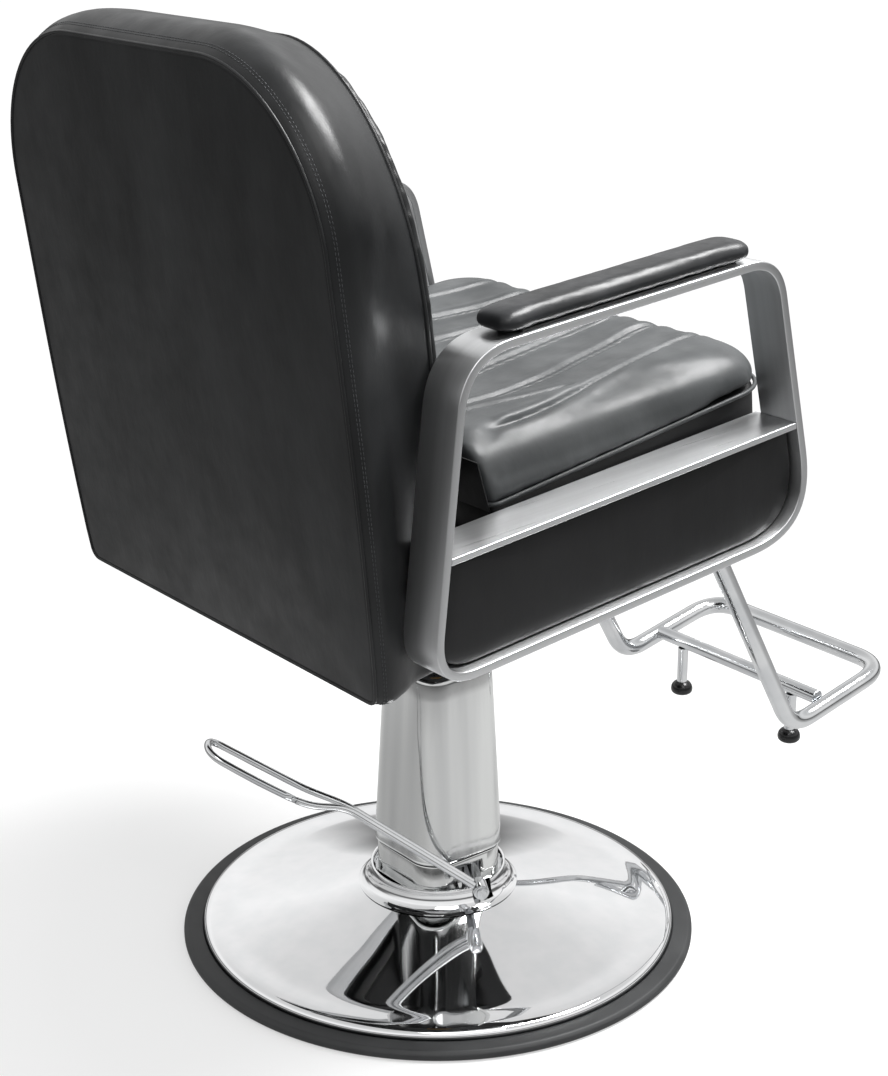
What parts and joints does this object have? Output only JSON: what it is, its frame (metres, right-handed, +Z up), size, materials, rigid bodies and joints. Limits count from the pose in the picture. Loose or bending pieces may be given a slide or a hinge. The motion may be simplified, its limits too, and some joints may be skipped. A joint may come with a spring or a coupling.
{
  "type": "hydraulic barber chair",
  "caption": "Barber chair: arched full-length back, loop arm frames with shelves and pads, swivel seat on a foot-pumped column, round base, tube footrest.",
  "frame": {"origin": "centre of the base's underside, on the floor", "axes": "+Z up, the sitter faces -Y, +X to the sitter's left"},
  "size_m": [0.6514, 0.9809, 1.0643],
  "materials": {
    "chrome": "polished",
    "column_steel": "satin",
    "brushed_steel": "satin",
    "machined_steel": "satin",
    "cast_iron": "matte",
    "black_paint": "satin",
    "black_plastic": "matte",
    "black_rubber": "matte",
    "bronze": "satin",
    "back_leather": "satin",
    "seat_leather": "satin",
    "pad_leather": "satin",
    "plywood": "matte"
  },
  "bodies": {
    "base": {"base_weight": "cast_iron", "rubber_ring": "black_rubber", "base_cover": "chrome", "base_collar": "chrome", "column_foot": "column_steel", "column_cover": "column_steel", "rod_bushing": "black_plastic", "pump_block": "cast_iron", "cylinder_barrel": "machined_steel", "gland_nut": "bronze", "oil_reservoir": "black_paint", "crank_bracket": "machined_steel", "pump_bolt_1": "machined_steel", "pump_bolt_2": "machined_steel", "pump_bolt_3": "machined_steel", "pump_bolt_4": "machined_steel", "plunger_spring": "machined_steel"},
    "pump_lever": {"crank_shaft": "machined_steel", "lever_hub": "chrome", "lever_bolt": "chrome", "lever_rod": "chrome"},
    "plunger": {"pump_plunger": "machined_steel"},
    "lift": {"piston_rod": "chrome", "piston_head": "bronze", "swivel_bearing": "bronze"},
    "seat": {"saddle_bracket": "black_paint", "seat_rail_left": "black_paint", "seat_rail_right": "black_paint", "crossbar_front": "black_paint", "crossbar_rear": "black_paint", "seat_base": "back_leather", "seat_board": "plywood", "seat_cushion": "seat_leather", "back_shell": "back_leather", "back_panel": "plywood", "back_board": "plywood", "back_cushion": "seat_leather", "back_bracket_left": "black_paint", "back_bracket_right": "black_paint", "arm_frame_left": "brushed_steel", "arm_frame_right": "brushed_steel", "arm_shelf_left": "brushed_steel", "arm_shelf_right": "brushed_steel", "side_panel_left": "back_leather", "side_panel_right": "back_leather", "arm_pad_base_left": "black_plastic", "arm_pad_base_right": "black_plastic", "arm_pad_left": "pad_leather", "arm_pad_right": "pad_leather", "footrest_clamp_left": "black_paint", "footrest_clamp_right": "black_paint", "footrest_frame": "chrome", "footrest_crossbar": "chrome", "footrest_post_left": "chrome", "footrest_post_right": "chrome", "footrest_foot_left": "black_rubber", "footrest_foot_right": "black_rubber"}
  },
  "joints": [
    {"name": "seat_lift", "type": "slide", "parent": "base", "child": "lift", "axis": [0, 0, 1], "range_m": [-0.122, 0.018]},
    {"name": "seat_swivel", "type": "hinge", "parent": "lift", "child": "seat", "pos_m": [0, 0, 0.473], "axis": [0, 0, 1], "continuous": true},
    {"name": "foot_lever", "type": "hinge", "parent": "base", "child": "pump_lever", "pos_m": [-0.10172, 0.01982, 0.092], "axis": [-0.866, 0.5, 0], "range_deg": [0, 22], "stiffness_Nm_per_rad": 3, "springref_deg": -34.38},
    {"name": "plunger_stroke", "type": "slide", "parent": "base", "child": "plunger", "axis": [0, 0, -1], "range_m": [0, 0.006], "deforming": ["plunger_spring"]}
  ],
  "couplings": [
    {"joint": "plunger_stroke", "follows": "foot_lever", "m_per_rad": 0.014}
  ]
}
